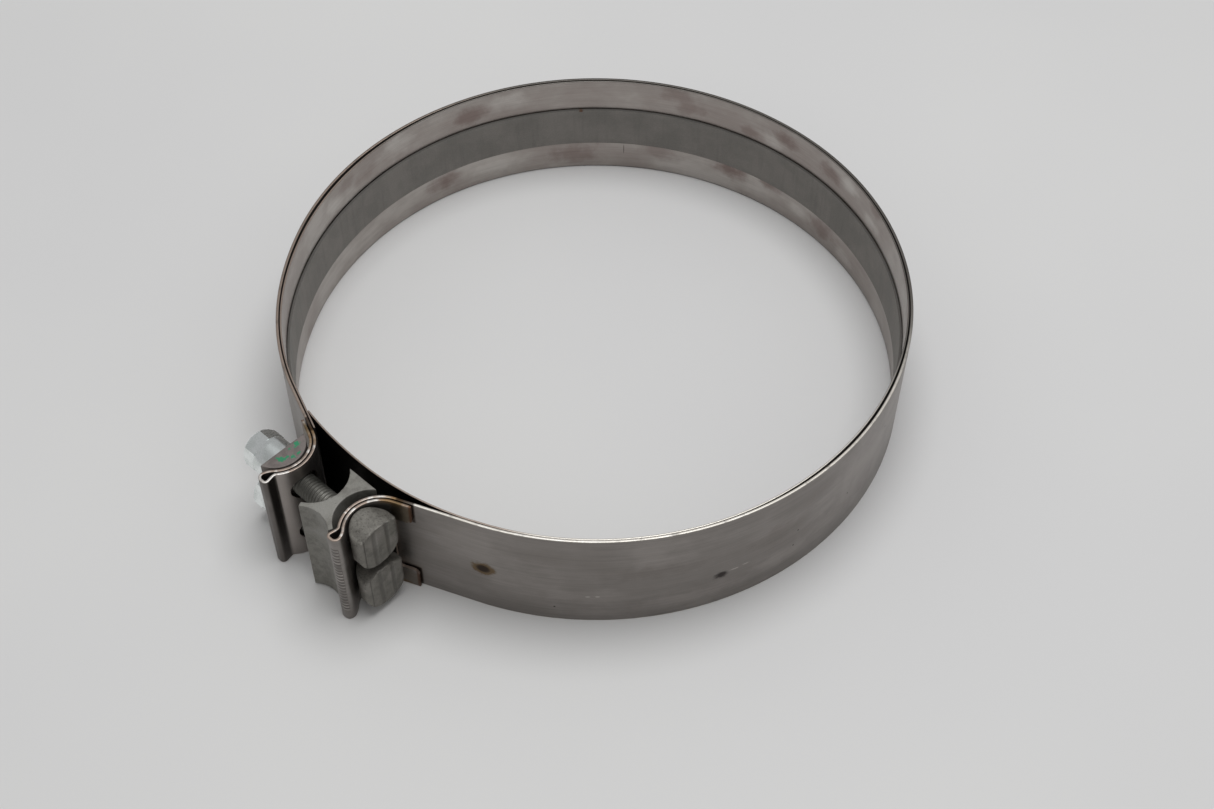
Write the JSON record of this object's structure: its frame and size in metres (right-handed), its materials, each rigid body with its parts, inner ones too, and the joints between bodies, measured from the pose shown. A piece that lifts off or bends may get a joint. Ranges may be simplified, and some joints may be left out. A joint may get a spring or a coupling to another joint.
{
  "type": "pipe repair clamp",
  "caption": "Wide flat-band clamp for a large pipe: steel band with liner and gasket strip, preformed ears, reaction block, D-bar, D-head bolts and collar nuts.",
  "frame": {"origin": "bottom centre of the clamp's outer box, on the plane of the band's lower edge; the ring's own centre is 14.8 mm towards +Y of it", "axes": "+Z along the pipe, -Y towards the ears, +X along the bolts from the nuts to the D heads"},
  "size_m": [0.2528, 0.2822, 0.0508],
  "materials": {
    "band_steel": "rolled stainless strip with faint lengthwise grain",
    "liner_steel": "rolled stainless strip with blotchy stains",
    "gasket": "matte dark grey fibre and graphite strip",
    "block_steel": "matte grey sintered steel",
    "bolt_steel": "matte grey forged steel",
    "zinc": "bright zinc plating"
  },
  "bodies": {
    "fixed_half": {"band_right": "band_steel", "liner_right": "liner_steel", "gasket_right": "gasket"},
    "moving_half": {"band_left": "band_steel", "liner_left": "liner_steel", "gasket_left": "gasket"},
    "tongue": {"liner_tongue": "liner_steel", "gasket_tongue": "gasket"},
    "upper_bolt": {"bolt_upper": "bolt_steel"},
    "lower_bolt": {"bolt_lower": "bolt_steel"},
    "block": {"reaction_block": "block_steel"},
    "bar": {"d_bar": "block_steel"},
    "upper_nut": {"nut_upper": "zinc"},
    "lower_nut": {"nut_lower": "zinc"}
  },
  "joints": [
    {"name": "upper_nut_turn", "type": "hinge", "parent": "bar", "child": "upper_nut", "pos_m": [-0.03578, -0.12605, 0.0387], "axis": [1, 0, 0], "range_deg": [-2020, 3030]},
    {"name": "lower_nut_turn", "type": "hinge", "parent": "bar", "child": "lower_nut", "pos_m": [-0.03578, -0.12605, 0.0133], "axis": [1, 0, 0], "range_deg": [-2020, 3030]},
    {"name": "band_flex", "type": "hinge", "parent": "fixed_half", "child": "moving_half", "pos_m": [-0.00278, 0.14059, 0.0254], "axis": [0, 0, 1], "range_deg": [-1.7, 2.55]},
    {"name": "upper_bolt_swing", "type": "hinge", "parent": "fixed_half", "child": "upper_bolt", "pos_m": [0.02506, -0.12605, 0.0254], "axis": [0, 0, 1], "range_deg": [-0.85, 1.27]},
    {"name": "lower_bolt_swing", "type": "hinge", "parent": "fixed_half", "child": "lower_bolt", "pos_m": [0.02506, -0.12605, 0.0254], "axis": [0, 0, 1], "range_deg": [-0.85, 1.27]},
    {"name": "bar_swing", "type": "hinge", "parent": "moving_half", "child": "bar", "pos_m": [-0.03062, -0.12605, 0.0254], "axis": [0, 0, 1], "range_deg": [-1.27, 0.85]},
    {"name": "tongue_flex", "type": "hinge", "parent": "fixed_half", "child": "tongue", "pos_m": [0.04966, -0.09945, 0.0254], "axis": [0, 0, 1], "range_deg": [-2.55, 1.7]},
    {"name": "block_slide", "type": "slide", "parent": "upper_bolt", "child": "block", "axis": [1, 0, 0], "range_m": [-0.0011, 0.00073]}
  ],
  "couplings": [
    {"joint": "upper_nut_turn", "follows": "band_flex", "ratio": 1187.3},
    {"joint": "lower_nut_turn", "follows": "band_flex", "ratio": 1187.3},
    {"joint": "upper_bolt_swing", "follows": "band_flex", "ratio": 0.5},
    {"joint": "lower_bolt_swing", "follows": "band_flex", "ratio": 0.5},
    {"joint": "bar_swing", "follows": "band_flex", "ratio": -0.5},
    {"joint": "tongue_flex", "follows": "band_flex", "ratio": -1},
    {"joint": "block_slide", "follows": "band_flex", "m_per_rad": -0.024716}
  ]
}
